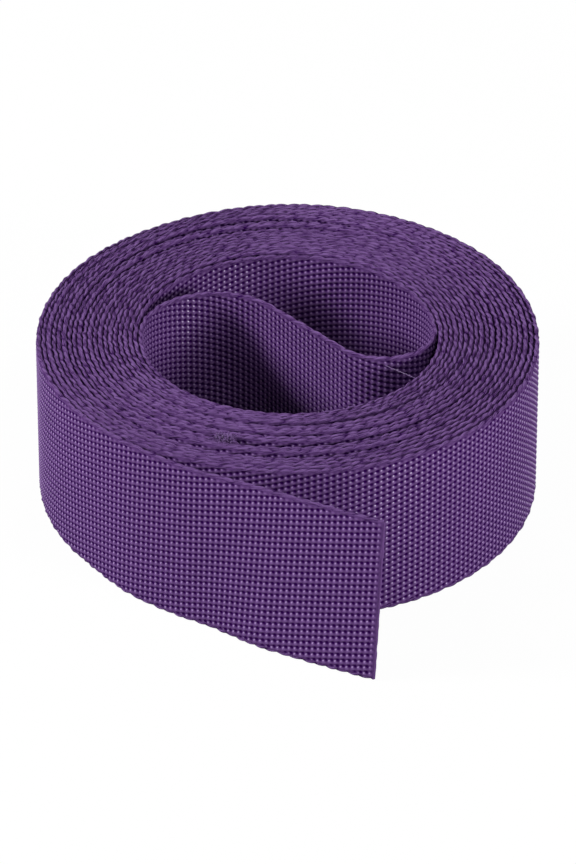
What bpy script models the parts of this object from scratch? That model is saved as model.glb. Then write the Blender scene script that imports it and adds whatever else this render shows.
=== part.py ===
"""A roll of flat woven webbing strap, standing on its edge.

One long strap is folded near its middle. The fold sits in the eye of the roll as an S-shaped bend,
and its two legs are wound round it side by side, anticlockwise seen from above. The short leg ends
inside the roll. The long leg goes on to the outside and ends in a free tail that leaves the roll.

Metres, +Z up. The strap stands on its lower edge at Z = 0, and the origin is under the middle of the
box that holds the roll and its tail.
"""
import math

import bmesh
import bpy
import numpy as np
from mathutils import Matrix, Vector

MM = 0.001

# The strap
STRAP_WIDTH = 50.0 * MM
LAYER_PITCH = 1.44 * MM  # the thickness of the webbing, and the step from one layer to the next
LAYER_GAP = 0.46 * MM  # room for the raised weave, between the solid cores of two layers

# The roll
EYE_RADIUS = 42.3 * MM  # the innermost layer, at its middle
LONG_LEG_START = 176.0  # degrees, where the bend runs into the long leg
SHORT_LEG_START = 6.0
LONG_LEG_TURNS = 14  # whole turns, before the last piece of a turn up to the tail
SHORT_LEG_TURNS = 5  # whole turns, before the last piece of a turn up to its cut end
SHORT_LEG_END = 256.0
TURN_STEPS = 36

# The S-shaped bend in the eye: two round lobes and a straight run between them
LEFT_LOBE_RADIUS = 21.3 * MM
RIGHT_LOBE_RADIUS = 15.2 * MM
LOBE_STEP = 12.0  # degrees
RUN_STEPS = 4

# The free tail, which bends less and less after it has left the roll
TAIL_START = 216.0
TAIL_TURN = 31.8  # degrees that the whole tail would turn, if it never ended
TAIL_ROOT_LENGTH = 38.0 * MM
TAIL_TIP_LENGTH = 62.5 * MM
TAIL_STEP = 6.5 * MM
TAIL_LEAN = 4.8 * MM  # how far the foot of the cut end stands out from its top edge
LEAN_LENGTH = 28.0 * MM  # the stretch of the tip in which the lean grows

# The free ends of the webbing bend here
HINGE_CLEARANCE = 0.3 * MM
NOSE_SHARE = 0.48  # of the thickness, rounded off each side of a hinged end
NOSE_SEGMENTS = 3

CORE_THICKNESS = LAYER_PITCH - LAYER_GAP
HINGE_SETBACK = CORE_THICKNESS / 2 + HINGE_CLEARANCE
WEBBING_COLOUR = (0.105, 0.048, 0.165, 1.0)
WEBBING_ROUGHNESS = 0.62


def polar(radius, degrees):
    angle = math.radians(degrees)
    return Vector((radius * math.cos(angle), radius * math.sin(angle)))


def layers_below(wound, passed_end):
    """How many layers lie under a point of the long leg, both legs counted."""
    return (wound + min(wound, passed_end)) / 360.0


def short_leg():
    """Plan points of the short leg, from its cut end inwards to the bend."""
    lag = SHORT_LEG_START - (LONG_LEG_START - 180.0)
    wound_end = lag + (SHORT_LEG_END - SHORT_LEG_START) % 360.0 + 360.0 * SHORT_LEG_TURNS
    steps = round((wound_end - lag) * TURN_STEPS / 360.0)
    points = []
    for i in range(steps, -1, -1):
        wound = lag + (wound_end - lag) * i / steps
        radius = EYE_RADIUS + LAYER_PITCH * layers_below(wound, wound_end)
        points.append(polar(radius, LONG_LEG_START - 180.0 + wound))
    return points


def long_leg():
    """Plan points of the long leg, from the bend outwards to where the tail leaves the roll."""
    first_pass = (SHORT_LEG_END - LONG_LEG_START) % 360.0
    passed_end = first_pass + 360.0 * (SHORT_LEG_TURNS + 1)
    wound_end = (TAIL_START - LONG_LEG_START) % 360.0 + 360.0 * LONG_LEG_TURNS
    steps = round(wound_end * TURN_STEPS / 360.0)
    points = []
    for i in range(steps + 1):
        wound = wound_end * i / steps
        radius = EYE_RADIUS + LAYER_PITCH * layers_below(wound, passed_end)
        points.append(polar(radius, LONG_LEG_START + wound))
    return points


def arc(centre, radius, first, last):
    steps = max(2, math.ceil(abs(last - first) / LOBE_STEP))
    return [centre + polar(radius, first + (last - first) * i / steps) for i in range(steps + 1)]


def bend(short_end, long_end):
    """Plan points of the S from the short leg to the long one: two arcs and their inner tangent."""
    right = short_end * (1.0 - RIGHT_LOBE_RADIUS / short_end.length)
    left = long_end * (1.0 - LEFT_LOBE_RADIUS / long_end.length)
    across = left - right
    bearing = math.degrees(math.atan2(across.y, across.x)) % 360.0
    crossing = math.degrees(math.acos((LEFT_LOBE_RADIUS + RIGHT_LOBE_RADIUS) / across.length))
    leave = bearing + crossing
    right_arc = arc(right, RIGHT_LOBE_RADIUS, SHORT_LEG_START, leave - 360.0)
    left_arc = arc(left, LEFT_LOBE_RADIUS, leave - 180.0, LONG_LEG_START)
    run = [right_arc[-1].lerp(left_arc[0], i / RUN_STEPS) for i in range(1, RUN_STEPS)]
    return right_arc + run + left_arc


def tail_point(start, distance):
    """A plan point and a heading on the tail, whose curve is the roll's at first and then dies away."""
    turn = math.radians(TAIL_TURN)
    fade = turn * start.length
    heading = math.radians(TAIL_START) + math.pi / 2
    count = max(1, math.ceil(abs(distance) / MM))
    step = distance / count
    place = start.copy()
    for i in range(count):
        angle = heading + turn * (1.0 - math.exp(-(i + 0.5) * step / fade))
        place += Vector((math.cos(angle), math.sin(angle))) * step
    return place, heading + turn * (1.0 - math.exp(-distance / fade))


def tail_points(start, first, last):
    steps = max(2, round((last - first) / TAIL_STEP))
    return [tail_point(start, first + (last - first) * i / steps)[0] for i in range(steps + 1)]


def least_gap(points):
    """The least space between two layers, measured from each point to the far stretches of the path."""
    plan = np.array([point[:] for point in points])
    along = np.concatenate([[0.0], np.cumsum(np.linalg.norm(np.diff(plan, axis=0), axis=1))])
    starts, spans = plan[:-1], np.diff(plan, axis=0)
    lengths = np.einsum("ij,ij->i", spans, spans)
    least = math.inf
    for point, place in zip(plan, along):
        share = np.clip(np.einsum("ij,ij->i", point - starts, spans) / lengths, 0.0, 1.0)
        distance = np.linalg.norm(starts + spans * share[:, None] - point, axis=1)
        apart = np.abs((along[:-1] + along[1:]) / 2 - place) > EYE_RADIUS
        least = min(least, distance[apart].min())
    return least - CORE_THICKNESS


def strap_mesh(name, points):
    """A standing ribbon along the plan points, as a mesh: a flat curve raised to the strap's width."""
    curve = bpy.data.curves.new(name, "CURVE")
    curve.dimensions = "2D"
    curve.fill_mode = "NONE"
    curve.extrude = STRAP_WIDTH / 2
    spline = curve.splines.new("POLY")
    spline.points.add(len(points) - 1)
    for point, place in zip(spline.points, points):
        point.co = (place.x, place.y, 0.0, 1.0)
    guide = bpy.data.objects.new(name, curve)
    bpy.context.scene.collection.objects.link(guide)
    graph = bpy.context.evaluated_depsgraph_get()
    mesh = bpy.data.meshes.new_from_object(guide.evaluated_get(graph))
    bpy.data.objects.remove(guide)
    bpy.data.curves.remove(curve)
    mesh.transform(Matrix.Translation((0.0, 0.0, STRAP_WIDTH / 2)))
    return mesh


def thicken(part):
    thickness = part.modifiers.new("Thickness", "SOLIDIFY")
    thickness.thickness = CORE_THICKNESS
    thickness.offset = 0.0
    thickness.use_even_offset = True


def lean(mesh, start, first):
    """Tilts the strap more and more along the tip, until its foot stands out from its top edge."""
    for vertex in mesh.vertices:
        place = Vector(vertex.co[:2])
        along = (place - first).length
        share = min(along / LEAN_LENGTH, 1.0)
        share = share * share * (3.0 - 2.0 * share)
        tilt = math.asin(TAIL_LEAN * share / STRAP_WIDTH)
        heading = tail_point(start, TAIL_ROOT_LENGTH + along)[1]
        outwards = Vector((math.sin(heading), -math.cos(heading), 0.0))
        lower_edge = CORE_THICKNESS / 2 * math.sin(tilt)
        vertex.co -= outwards * (vertex.co.z - STRAP_WIDTH / 2) * math.sin(tilt)
        vertex.co.z = lower_edge + vertex.co.z * math.cos(tilt)


def round_nose(part, first, heading):
    """Rounds the upright edges of a hinged end, so that it can turn in front of its neighbour."""
    graph = bpy.context.evaluated_depsgraph_get()
    mesh = bpy.data.meshes.new_from_object(part.evaluated_get(graph))
    part.modifiers.clear()
    part.data = mesh
    forward = Vector((math.cos(heading), math.sin(heading), 0.0))
    work = bmesh.new()
    work.from_mesh(mesh)
    origin = Vector((first.x, first.y, 0.0))
    reach = min((vertex.co - origin).dot(forward) for vertex in work.verts)
    nose = [
        edge
        for edge in work.edges
        if abs(edge.verts[0].co.z - edge.verts[1].co.z) > STRAP_WIDTH / 2
        and all((v.co - origin).dot(forward) < reach + CORE_THICKNESS / 2 for v in edge.verts)
    ]
    bmesh.ops.bevel(
        work,
        geom=nose,
        offset=CORE_THICKNESS * NOSE_SHARE,
        segments=NOSE_SEGMENTS,
        profile=0.5,
        affect="EDGES",
    )
    work.to_mesh(mesh)
    work.free()


def webbing_material():
    material = bpy.data.materials.new("woven_webbing")
    material.use_nodes = True
    shader = material.node_tree.nodes["Principled BSDF"]
    shader.inputs["Base Color"].default_value = WEBBING_COLOUR
    shader.inputs["Roughness"].default_value = WEBBING_ROUGHNESS
    shader.inputs["Metallic"].default_value = 0.0
    return material


def add_part(name, mesh, collection, material):
    part = bpy.data.objects.new(name, mesh)
    collection.objects.link(part)
    mesh.materials.append(material)
    thicken(part)
    return part


def hang_on_hinge(part, name, place, collection, parent=None):
    """Gives a moving piece a parent empty on its upright hinge line, with the piece left where it is."""
    hinge = bpy.data.objects.new(name, None)
    hinge.empty_display_size = STRAP_WIDTH / 2
    collection.objects.link(hinge)
    above = parent.matrix_world.translation if parent else Vector()
    hinge.parent = parent
    hinge.location = Vector((place.x, place.y, 0.0)) - above
    bpy.context.view_layer.update()
    part.parent = hinge
    part.matrix_parent_inverse = hinge.matrix_world.inverted()
    return hinge


def box_centre(points):
    low = Vector((min(point.x for point in points), min(point.y for point in points)))
    high = Vector((max(point.x for point in points), max(point.y for point in points)))
    return (low + high) / 2


def main():
    for item in list(bpy.data.objects):
        bpy.data.objects.remove(item)
    collection = bpy.data.collections.new("rolled_webbing_strap")
    bpy.context.scene.collection.children.link(collection)
    material = webbing_material()

    inner = short_leg()
    outer = long_leg()
    start = outer[-1]
    flap_hinge = tail_point(start, TAIL_ROOT_LENGTH)[0]
    root_end = TAIL_ROOT_LENGTH - HINGE_SETBACK
    nose = CORE_THICKNESS / 2
    root = tail_points(start, -nose, root_end)
    tip = tail_points(start, TAIL_ROOT_LENGTH - nose, TAIL_ROOT_LENGTH + TAIL_TIP_LENGTH)
    outer[-1] = tail_point(start, -HINGE_SETBACK)[0]
    wound = inner + bend(inner[-1], outer[0])[1:-1] + outer

    tip_mesh = strap_mesh("tail_tip", tip)
    lean(tip_mesh, start, tip[0])
    foot = [Vector(vertex.co[:2]) for vertex in tip_mesh.vertices]
    centre = box_centre(wound + root + foot)
    shift = Vector((-centre.x, -centre.y, 0.0))

    roll = add_part("wound_strap", strap_mesh("wound_strap", wound), collection, material)
    tail_root = add_part("tail_root", strap_mesh("tail_root", root), collection, material)
    tail_tip = add_part("tail_tip", tip_mesh, collection, material)
    round_nose(tail_root, start, tail_point(start, 0.0)[1])
    round_nose(tail_tip, flap_hinge, tail_point(start, TAIL_ROOT_LENGTH)[1])
    for part in (roll, tail_root, tail_tip):
        part.data.transform(Matrix.Translation(shift))

    peel = hang_on_hinge(tail_root, "peel_hinge", start + shift.xy, collection)
    hang_on_hinge(tail_tip, "flap_hinge", flap_hinge + shift.xy, collection, peel)

    length = sum((b - a).length for a, b in zip(wound, wound[1:]))
    print(f"wound length {length:.3f} m, tail {TAIL_ROOT_LENGTH + TAIL_TIP_LENGTH:.3f} m")
    print(f"least gap of the wound strap to itself {least_gap(wound) / MM:.3f} mm")
    print(f"roll axis at {shift.x / MM:.3f}, {shift.y / MM:.3f} mm")
    print(f"peel hinge at {[round(v / MM, 3) for v in (start + shift.xy)]} mm")
    print(f"flap hinge at {[round(v / MM, 3) for v in (flap_hinge + shift.xy)]} mm")


main()
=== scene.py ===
# %% [markdown]
# # A roll of woven webbing
#
# One flat purple strap, folded near its middle and wound up until a short tail is left over. The fold shows
# as an S in the eye of the roll. The imported model is the frame of this scene: it gives the bodies and the
# hinges. The script dresses it with woven cloth, in metres and in the same place. It loads the frame first,
# because the pieces of the roll ride on one of its bodies.

# %% Load the frame
import math

import bpy
import numpy as np
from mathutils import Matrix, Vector


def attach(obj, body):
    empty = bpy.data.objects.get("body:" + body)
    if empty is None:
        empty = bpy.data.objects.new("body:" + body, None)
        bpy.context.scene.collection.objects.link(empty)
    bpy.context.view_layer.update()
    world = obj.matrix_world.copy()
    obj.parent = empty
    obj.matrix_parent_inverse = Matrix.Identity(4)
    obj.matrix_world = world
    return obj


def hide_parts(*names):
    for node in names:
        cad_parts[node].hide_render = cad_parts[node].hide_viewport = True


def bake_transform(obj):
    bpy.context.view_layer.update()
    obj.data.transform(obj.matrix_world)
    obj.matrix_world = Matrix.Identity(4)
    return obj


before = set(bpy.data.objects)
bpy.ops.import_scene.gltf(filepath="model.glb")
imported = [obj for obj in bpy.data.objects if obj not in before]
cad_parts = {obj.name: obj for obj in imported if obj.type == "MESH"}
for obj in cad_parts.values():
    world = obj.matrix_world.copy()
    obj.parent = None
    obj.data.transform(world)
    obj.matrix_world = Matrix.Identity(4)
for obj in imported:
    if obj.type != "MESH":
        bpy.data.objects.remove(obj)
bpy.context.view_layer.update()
MM = 0.001
DEGREE = math.pi / 180.0

# %% [markdown]
# ## How the strap is wound
#
# A strap that is wound up from its fold makes two spirals, one in the other. The long leg ends in the tail.
# The short leg stops sooner, at the front of the roll. Such a line could be drawn by hand with hundreds of
# points. Here it follows from a few sizes, the same that drive the solids, so each layer lies on its solid.

# %% Sizes of the roll
STRAP_WIDTH = 50.0 * MM
LAYER_PITCH = 1.44 * MM
ROLL_AXIS = (0.359 * MM, 14.324 * MM)  # its place in the frame
EYE_RADIUS = 42.3 * MM
LONG_LEG_START = 176.0  # degrees, as are the next four
SHORT_LEG_START = 6.0
SHORT_LEG_END = 256.0
TAIL_START = 216.0
TAIL_TURN = 31.8
LONG_LEG_TURNS = 14  # whole turns
SHORT_LEG_TURNS = 5
LEFT_LOBE_RADIUS = 21.3 * MM
RIGHT_LOBE_RADIUS = 15.2 * MM
TAIL_ROOT_LENGTH = 38.0 * MM
TAIL_TIP_LENGTH = 63.0 * MM  # half a millimetre longer than the solid
TAIL_LEAN = 4.8 * MM
LEAN_LENGTH = 28.0 * MM
ROUTE_STEP = 0.25 * MM
print(f"strap {STRAP_WIDTH / MM:.0f} mm wide, its layers {LAYER_PITCH / MM:.2f} mm apart")

# %% [markdown]
# ## The two legs
#
# Each leg is a spiral. A spiral primitive has one pitch, but here the pitch changes: two layers are added
# with each turn while both legs lie side by side, and one layer after the short leg's end. So the radius is
# worked out from the number of layers below.

# %% The two legs
def polar(radius, degrees):
    angle = np.radians(degrees)
    return np.stack([radius * np.cos(angle), radius * np.sin(angle)], axis=-1)


def samples(first, last, radius):
    """Angles from first to last, about a route step apart at that radius."""
    count = math.ceil(abs(last - first) * DEGREE * radius / ROUTE_STEP)
    return np.linspace(first, last, count + 1)


def layer_radius(wound, end):
    """The radius of a leg after so many degrees, with one layer fewer per turn past the end."""
    return EYE_RADIUS + LAYER_PITCH * (wound + np.minimum(wound, end)) / 360.0


opposite = LONG_LEG_START - 180.0
short_lag = SHORT_LEG_START - opposite
short_wound = short_lag + (SHORT_LEG_END - SHORT_LEG_START) % 360.0 + 360.0 * SHORT_LEG_TURNS
long_wound = (TAIL_START - LONG_LEG_START) % 360.0 + 360.0 * LONG_LEG_TURNS
passed_end = (SHORT_LEG_END - LONG_LEG_START) % 360.0 + 360.0 * (SHORT_LEG_TURNS + 1)

sampled_radius = EYE_RADIUS + LAYER_PITCH * LONG_LEG_TURNS
short_turns = samples(short_wound, short_lag, sampled_radius)
long_turns = samples(0.0, long_wound, sampled_radius)
short_leg = polar(layer_radius(short_turns, short_wound), opposite + short_turns)
long_leg = polar(layer_radius(long_turns, passed_end), LONG_LEG_START + long_turns)
print(f"the short leg winds {short_wound:.0f} degrees, the long leg {long_wound:.0f}")

# %% [markdown]
# ## The fold in the eye
#
# In the eye the strap doubles back in an S of two round lobes. A Bezier curve could be bent until it looks
# right. Two arcs and the straight line that touches both take fewer numbers, and they meet the legs without
# a kink, because the middle of each lobe lies on the radius of the leg that it joins.

# %% The fold
def fold(short_end, long_end):
    """Two round lobes and the straight run between them."""
    right = short_end * (1.0 - RIGHT_LOBE_RADIUS / np.hypot(*short_end))
    left = long_end * (1.0 - LEFT_LOBE_RADIUS / np.hypot(*long_end))
    across = left - right
    bearing = math.degrees(math.atan2(across[1], across[0])) % 360.0
    share = (LEFT_LOBE_RADIUS + RIGHT_LOBE_RADIUS) / np.hypot(*across)
    leave = bearing + math.degrees(math.acos(share))
    right_angles = samples(SHORT_LEG_START, leave - 360.0, RIGHT_LOBE_RADIUS)
    left_angles = samples(leave - 180.0, LONG_LEG_START, LEFT_LOBE_RADIUS)
    right_arc = right + polar(RIGHT_LOBE_RADIUS, right_angles)
    left_arc = left + polar(LEFT_LOBE_RADIUS, left_angles)
    gap = left_arc[0] - right_arc[-1]
    shares = np.linspace(0.0, 1.0, math.ceil(np.hypot(*gap) / ROUTE_STEP) + 1)[1:-1]
    return np.concatenate([right_arc, right_arc[-1] + gap * shares[:, None], left_arc])


s_fold = fold(short_leg[-1], long_leg[0])[1:-1]
print("fold points", len(s_fold))

# %% [markdown]
# ## The tail
#
# Webbing that was wound up keeps some of its curve when it comes off the roll, and then straightens. One
# arc would bend evenly to the end. Here the heading turns less and less, by an exponential that starts with
# the roll's own curve, and the points are the sum of short steps along that heading.

# %% The tail's curve
def tail(start):
    turn = TAIL_TURN * DEGREE
    fade = turn * np.hypot(*start)
    length = TAIL_ROOT_LENGTH + TAIL_TIP_LENGTH
    count = math.ceil(length / ROUTE_STEP)
    step = length / count
    middle = (np.arange(count) + 0.5) * step
    heading = TAIL_START * DEGREE + math.pi / 2 + turn * (1.0 - np.exp(-middle / fade))
    moves = np.stack([np.cos(heading), np.sin(heading)], axis=-1) * step
    return start + np.cumsum(moves, axis=0)


tail_line = tail(long_leg[-1])
print("tail points", len(tail_line))

# %% [markdown]
# ## The middle line from end to end
#
# The line runs from the short leg's cut end inwards, through the fold, and outwards along the long leg to
# the tail's cut end. Each point also gets its distance along the strap. The weave is counted by that
# distance, so that it runs on from piece to piece as it does on one real strap.

# %% The middle line
plan = np.concatenate([short_leg, s_fold, long_leg, tail_line])
along = np.concatenate([[0.0], np.cumsum(np.linalg.norm(np.diff(plan, axis=0), axis=1))])
fold_first = along[len(short_leg) - 1]
fold_last = along[len(short_leg) + len(s_fold)]
tail_first = along[len(plan) - len(tail_line) - 1]
strap_length = along[-1]
tail_length = strap_length - tail_first
print(f"strap {strap_length:.3f} m, fold {fold_last - fold_first:.3f} m, tail {tail_length:.3f} m")

# %% [markdown]
# ## Where the roll is uneven
#
# A roll that is wound by hand isn't even. Behind and in front some layers stand apart from the next and a
# little higher, and the weave of the farther one shows in the gap. They could be pushed apart with a
# sculpting brush, but then they would pass through their neighbours. Here a gap is a place in the roll from
# which all layers move away, the near ones most, so no two of them ever cross.

# %% Gaps between the layers
# degrees that the long leg has wound, the face that shows, how far the gap opens, how much higher it stands
SLACK = (
    (2809.0, "inner", 1.1 * MM, 1.4 * MM),
    (2089.0, "inner", 0.6 * MM, 1.2 * MM),
    (1189.0, "inner", 1.1 * MM, 1.4 * MM),
    (289.0, "inner", 0.8 * MM, 0.8 * MM),
    (2966.0, "outer", 0.8 * MM, 1.1 * MM),
    (1886.0, "outer", 0.8 * MM, 1.0 * MM),
    (1526.0, "outer", 0.9 * MM, 1.1 * MM),
    (806.0, "outer", 0.7 * MM, 1.0 * MM),
)
SLACK_ARC = 78.0  # degrees to each side
SLACK_DEPTH = 4.0 * MM  # how far into the neighbouring layers a gap is felt


def smooth(share):
    share = np.clip(share, 0.0, 1.0)
    return share * share * (3.0 - 2.0 * share)


def turned_from(angle, middle):
    return (angle - middle + 180.0) % 360.0 - 180.0


def slack_moves(radius, angle):
    """How far each point of the roll moves outwards and upwards, summed over the gaps."""
    outwards = np.zeros(len(radius))
    upwards = np.zeros(len(radius))
    for wound, shows, opening, step in SLACK:
        turned = turned_from(angle, LONG_LEG_START + wound)
        window = smooth(1.0 - np.abs(turned) / SLACK_ARC)
        layers_per_turn = 2.0 if wound < passed_end else 1.0
        side = -1.0 if shows == "inner" else 1.0
        middle = layer_radius(wound, passed_end) + side * LAYER_PITCH / 2
        beyond = radius - (middle + layers_per_turn * LAYER_PITCH * turned / 360.0)
        felt = window * np.exp(-np.abs(beyond) / SLACK_DEPTH)
        outwards += np.sign(beyond) * opening / 2 * felt
        upwards += np.where(beyond * side < 0, step * felt, 0.0)
    return outwards, upwards


radius = np.hypot(plan[:, 0], plan[:, 1])
angle = np.degrees(np.arctan2(plan[:, 1], plan[:, 0]))
slack_out, slack_up = slack_moves(radius, angle)
print(f"gaps move layers by {slack_out.max() / MM:.2f} mm and lift them by {slack_up.max() / MM:.2f} mm")

# %% [markdown]
# ## Bulges, and the space after the short leg's end
#
# The outside of the roll isn't quite round, and where the short leg stops, the layers above it close up on
# the space that it leaves. Both could be made with a lattice round the finished mesh. It is less work to
# move the line before it has a mesh, and the strap keeps its thickness.

# %% Bulges and the closed space
# degrees, degrees to each side, how far the outside of the roll stands out there
BULGES = ((45.0, 60.0, 0.9 * MM), (86.0, 36.0, 0.8 * MM), (122.0, 30.0, -0.6 * MM), (312.0, 75.0, 1.6 * MM))
VOID_ARC = 75.0  # degrees in which the layers close up after the short leg's end
VOID_LAYERS = 1.5  # per turn, between the two below that end and the one above it


def bulge_moves(radius, angle):
    """How far the outer layers stand out where the roll isn't round."""
    felt = np.exp((radius - layer_radius(long_wound, passed_end)) / SLACK_DEPTH)
    return felt * sum(out * smooth(1.0 - np.abs(turned_from(angle, at)) / arc) for at, arc, out in BULGES)


def void_moves(radius, angle):
    """How far the layers close up on the space that the short leg leaves after its end."""
    passed = (angle - SHORT_LEG_END) % 360.0
    middle = layer_radius(short_wound, short_wound) + VOID_LAYERS * LAYER_PITCH * passed / 360.0
    width = 1.0 - passed / 360.0 - np.clip(1.0 - passed / VOID_ARC, 0.0, 1.0)
    beyond = radius - middle
    return -np.sign(beyond) * width * LAYER_PITCH / 2 * np.exp(-np.abs(beyond) / SLACK_DEPTH)


FOLD_FADE = 60.0 * MM  # of the wall of the eye, in which the slack begins to be felt
TAIL_FADE = 1.0 / 8.0  # of a turn, in which it dies away before the tail
turn_length = 2 * math.pi * np.hypot(*long_leg[-1])
outer_first = tail_first - turn_length
below_outer = smooth((outer_first - along) / turn_length)
past_fold = smooth(np.maximum(fold_first - along, along - fold_last) / FOLD_FADE)
wound_up = np.arange(len(plan)) < len(plan) - len(tail_line)
in_roll = past_fold * wound_up * smooth((tail_first - along) / (turn_length * TAIL_FADE))
outwards = (slack_out + void_moves(radius, angle)) * below_outer + bulge_moves(radius, angle)
shift = outwards * in_roll
plan = plan * (1.0 + shift / radius)[:, None]
print(f"layers move out by {shift.min() / MM:.2f} to {shift.max() / MM:.2f} mm")

# %% [markdown]
# ## Lean and heights
#
# The tail's foot stands out farther than its top, and the layers' edges aren't all at one height. The lean
# could be a twist of the finished mesh. As a tilt of the line, it is one angle for each point. The line
# moves by half of what the lean adds, so that the strap's top stays where the solid has it.

# %% The route in space
# where on the tail its foot begins to stand out, over what length and how far
TAIL_LEANS = ((0.0, 26.0 * MM, 2.2 * MM), (44.0 * MM, 24.0 * MM, 4.0 * MM))
WAVER = 0.25 * MM  # how uneven the layers' heights are
WAVER_PERIODS = (0.311, 0.173)  # metres of strap

past = along - tail_first
part_lean = TAIL_LEAN * smooth((past - TAIL_ROOT_LENGTH) / LEAN_LENGTH)
seen_lean = sum(out * smooth((past - first) / run) for first, run, out in TAIL_LEANS)
travel = np.gradient(plan, along, axis=0)
outer_side = np.column_stack([travel[:, 1], -travel[:, 0]])
plan = plan + outer_side * ((seen_lean - part_lean) / 2)[:, None]
lean = np.arcsin(seen_lean / STRAP_WIDTH)
waves = [np.sin(2 * math.pi * along / period + i) for i, period in enumerate(WAVER_PERIODS)]
lifted = WAVER * (1.0 + sum(waves) / len(waves)) + slack_up
height = STRAP_WIDTH / 2 * np.cos(lean) + lifted * below_outer * in_roll
route = np.column_stack([plan + ROLL_AXIS, height])
print(f"route points {len(route)}, lean up to {lean.max() / DEGREE:.1f} degrees")

# %% [markdown]
# ## Stretches of the strap as curves
#
# A piece of strap starts as a curve, because a curve can carry a section along itself. A Bezier spline
# would round the line once more, so these are poly splines with all their points given. They are cut at
# whole picks of the weft, so that the pattern runs on from one piece to the next.

# %% Lines along the strap
PITCH_ALONG = 1.77 * MM  # from one pick of the weft to the next


def line_object(name, points, tilts=None):
    """A line through the points. One that has tilts stays upright and leans by them."""
    curve = bpy.data.curves.new(name, "CURVE")
    curve.dimensions = "3D"
    spline = curve.splines.new("POLY")
    spline.points.add(len(points) - 1)
    spline.points.foreach_set("co", np.column_stack([points, np.ones(len(points))]).ravel())
    if tilts is not None:
        curve.twist_mode = "Z_UP"
        spline.points.foreach_set("tilt", tilts)
    line = bpy.data.objects.new(name, curve)
    bpy.context.scene.collection.objects.link(line)
    return line


def places_at(distances):
    """Points of the route at those distances along the strap."""
    return np.column_stack([np.interp(distances, along, route[:, i]) for i in range(3)])


def whole(distance):
    return round(distance / PITCH_ALONG) * PITCH_ALONG


def stretch(name, first, last, step):
    count = max(2, round((last - first) / step))
    distances = np.linspace(first, last, count + 1)
    return line_object(name, places_at(distances), -np.interp(distances, along, lean))


print(f"the strap has {strap_length / PITCH_ALONG:.0f} picks")

# %% [markdown]
# ## Helpers for node trees
#
# A material and a Geometry Nodes tree are both made of nodes and links. They could be wired by hand in the
# node editor, but a script can be read and run again. These helpers add a node and fill its sockets, with a
# link where the value is another node's output.

# %% Node helpers
def plug(tree, socket, value):
    if isinstance(value, bpy.types.NodeSocket):
        tree.links.new(value, socket)
    else:
        socket.default_value = value


def add(tree, kind, inputs=None, **settings):
    node = tree.nodes.new(kind)
    for name, value in settings.items():
        setattr(node, name, value)
    for name, value in (inputs or {}).items():
        plug(tree, node.inputs[name], value)
    return node


def calc(tree, operation, *values):
    node = add(tree, "ShaderNodeMath", operation=operation)
    for socket, value in zip(node.inputs, values):
        plug(tree, socket, value)
    return node.outputs[0]


def remap(tree, value, old, new, **settings):
    """Moves a value from one range to another."""
    ends = {"Value": value, "From Min": old[0], "From Max": old[1], "To Min": new[0], "To Max": new[1]}
    return add(tree, "ShaderNodeMapRange", ends, **settings).outputs["Result"]


print("nodes of Blender", bpy.app.version_string)

# %% [markdown]
# ## Colours of the yarn, with painted shade and painted highlights
#
# The webbing is purple synthetic yarn. Each float, the stretch of a yarn that lies on top, catches the light
# in a pale spot, and the pits between lie in shade. Both are painted into the colour: a painted highlight on
# each float, and painted shade that darkens the pits. A picture of the weave could be laid on a flat strap.
# Here the mesh itself knows how far each point stands out and where the highlights lie, so the colour
# follows from those two values and stays sharp at any distance. A slow noise makes some stretches a little
# darker than others.

# %% Colour nodes
# how far a place stands out, from the bottom of a pit to the top of a float, and its colour, with painted
# shade darkest in the pits
YARN_WITH_PAINTED_SHADE = (
    (0.25, (0.014, 0.001, 0.036, 1.0)),
    (0.60, (0.068, 0.031, 0.106, 1.0)),
    (0.95, (0.114, 0.060, 0.172, 1.0)),
)
PAINTED_HIGHLIGHT = (0.188, 0.112, 0.266, 1.0)  # painted highlight on each float
PATCH_SCALE = 0.35
PATCH_SHADES = (0.88, 1.12)
NOISE_DETAIL = 3.0


def yarn_with_painted_shade(tree, level):
    ramp = add(tree, "ShaderNodeValToRGB", {"Fac": level})
    stops = ramp.color_ramp.elements
    stops.remove(stops[1])
    stops[0].position, stops[0].color = YARN_WITH_PAINTED_SHADE[0]
    for position, colour in YARN_WITH_PAINTED_SHADE[1:]:
        stops.new(position).color = colour
    return ramp.outputs["Color"]


def webbing_colour(tree, place, level, highlight):
    """The colour for how far a place stands out, with painted shade in the pits, a painted highlight on each
    float, and slow random changes of tone.
    """
    pair = {"Factor": highlight, "A": yarn_with_painted_shade(tree, level), "B": PAINTED_HIGHLIGHT}
    highlighted = add(tree, "ShaderNodeMix", pair, data_type="RGBA").outputs["Result"]
    slow = {"Vector": place, "Scale": PATCH_SCALE, "Detail": NOISE_DETAIL}
    patches = add(tree, "ShaderNodeTexNoise", slow).outputs["Fac"]
    shade = remap(tree, patches, (0.0, 1.0), PATCH_SHADES)
    return add(tree, "ShaderNodeHueSaturation", {"Color": highlighted, "Value": shade}).outputs["Color"]


# the one colour besides the ramp is the painted highlight
print("yarn colours", len(YARN_WITH_PAINTED_SHADE), "and one for the dots")

# %% [markdown]
# ## Fibres and gloss
#
# A yarn is a bundle of fine fibres, too fine for a mesh, so a bump of drawn-out noise stands for them. On
# the yarns of the edge the fibres are loose enough to show as light and dark dashes. Only the dots are
# glossy. Their gloss fades towards a glancing view, because the far sides of the roll are matt in the
# photograph.

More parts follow.
